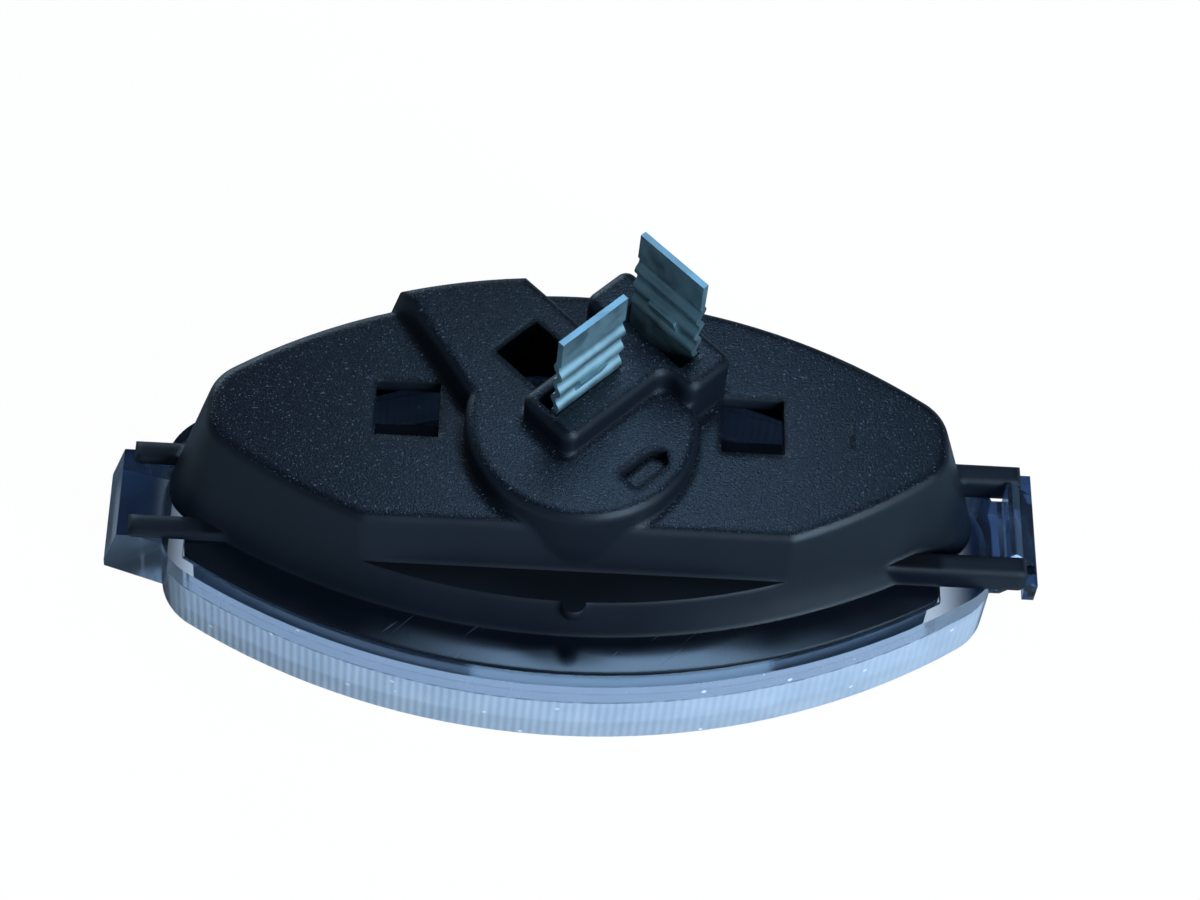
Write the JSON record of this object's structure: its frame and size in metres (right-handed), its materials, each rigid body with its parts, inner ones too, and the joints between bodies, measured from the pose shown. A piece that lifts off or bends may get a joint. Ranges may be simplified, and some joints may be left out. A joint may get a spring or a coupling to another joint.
{
  "type": "number plate lamp",
  "caption": "Snap-in number plate lamp: eye-shaped clear tray lens, black domed housing with end arms, and upright ridged contact blades on a turned tee platform.",
  "frame": {"origin": "middle of the flat lens face, at the bottom of the lamp as it lies lens down", "axes": "+X along the lamp from the tongue end to the snap end, +Y to the back of the dome, +Z from the lens face up through the housing to the blades"},
  "size_m": [0.085, 0.0366, 0.035],
  "materials": {
    "black_plastic": "fine grained top, satin walls, glossy flange",
    "clear_lens": "clear, faintly blue, fluted wall",
    "contact_metal": "dull plated strip",
    "bulb_clear": "clear",
    "cap_metal": "nickel plated",
    "coil_metal": "dull grey wire"
  },
  "bodies": {
    "root": {"housing": "black_plastic", "lens": "clear_lens", "contact_strip_left": "contact_metal", "contact_strip_right": "contact_metal", "bulb_glass": "bulb_clear", "bulb_cap_left": "cap_metal", "bulb_cap_right": "cap_metal", "bulb_filament": "coil_metal"}
  },
  "joints": []
}
